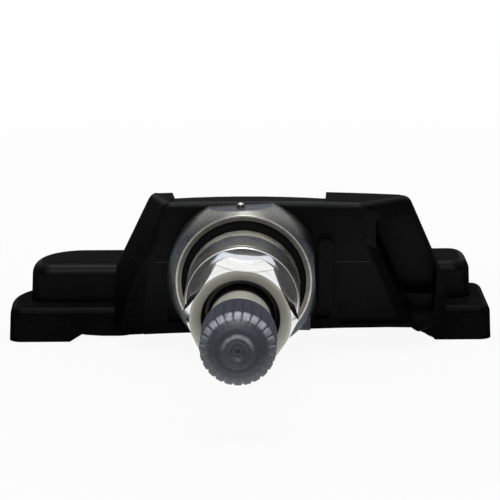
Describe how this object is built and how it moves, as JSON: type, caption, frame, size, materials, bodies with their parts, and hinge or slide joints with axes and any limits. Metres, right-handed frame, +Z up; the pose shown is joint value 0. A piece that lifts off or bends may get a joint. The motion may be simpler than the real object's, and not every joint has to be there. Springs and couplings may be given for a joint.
{
  "type": "tyre pressure sensor",
  "caption": "Clamp-in tyre pressure sensor: black moulded housing with stepped wings, metal valve stem with rubber seal, clamp sleeve, hexagon nut and splined screw cap.",
  "frame": {"origin": "on the valve axis, on the rubber face that seals against the inside of the wheel", "axes": "+X along the housing, +Y along the valve into the wheel, +Z up from the feet"},
  "size_m": [0.0733, 0.0688, 0.0233],
  "materials": {
    "housing": "satin black moulding",
    "bottom_cover": "satin black moulding",
    "circuit_board": "green lacquer",
    "battery": "nickel plated",
    "battery_tab_lower": "nickel strip",
    "battery_tab_upper": "nickel strip",
    "sensor_chip": "moulded package",
    "port_seal": "soft",
    "crystal": "plated can",
    "wake_coil": "lacquered copper wire",
    "antenna": "tinned strip",
    "seal_cup": "zinc plated, turned",
    "grommet": "matt black",
    "valve_stem": "anodised",
    "fixing_screw": "plated",
    "clamp_sleeve": "turned",
    "hex_nut": "nickel plated",
    "valve_cap": "satin slate grey",
    "cap_seal": "soft",
    "core_body": "turned",
    "core_gasket": "soft",
    "core_pin": "drawn",
    "core_cup": "soft",
    "core_spring": "spring wire"
  },
  "bodies": {
    "sensor": {"housing": "housing", "bottom_cover": "bottom_cover", "circuit_board": "circuit_board", "battery": "battery", "battery_tab_lower": "battery_tab_lower", "battery_tab_upper": "battery_tab_upper", "sensor_chip": "sensor_chip", "port_seal": "port_seal", "crystal": "crystal", "wake_coil": "wake_coil", "antenna": "antenna", "seal_cup": "seal_cup", "grommet": "grommet", "valve_stem": "valve_stem", "fixing_screw": "fixing_screw", "core_body": "core_body", "core_gasket": "core_gasket", "core_spring": "core_spring"},
    "sleeve": {"clamp_sleeve": "clamp_sleeve"},
    "nut": {"hex_nut": "hex_nut"},
    "cap_disc": {"cap_seal": "cap_seal"},
    "cap": {"valve_cap": "valve_cap"},
    "core_valve": {"core_pin": "core_pin", "core_cup": "core_cup"}
  },
  "joints": [
    {"name": "sleeve_slide", "type": "slide", "parent": "sensor", "child": "sleeve", "axis": [0, -1, 0], "range_m": [0, 0.007]},
    {"name": "nut_turn", "type": "hinge", "parent": "sleeve", "child": "nut", "pos_m": [0, -0.015, 0], "axis": [0, -1, 0], "range_deg": [0, 2521]},
    {"name": "cap_slide", "type": "slide", "parent": "sensor", "child": "cap_disc", "axis": [0, -1, 0], "range_m": [0, 0.00555]},
    {"name": "cap_turn", "type": "hinge", "parent": "cap_disc", "child": "cap", "pos_m": [0, -0.033, 0], "axis": [0, -1, 0], "range_deg": [0, 2520]},
    {"name": "core_press", "type": "slide", "parent": "sensor", "child": "core_valve", "axis": [0, 1, 0], "range_m": [0, 0.001], "stiffness_N_per_m": 1000, "springref_m": -0.0015, "deforming": ["core_spring"]}
  ],
  "couplings": [
    {"joint": "nut_turn", "follows": "sleeve_slide", "rad_per_m": 6283.2},
    {"joint": "cap_turn", "follows": "cap_slide", "rad_per_m": 7913.3}
  ]
}
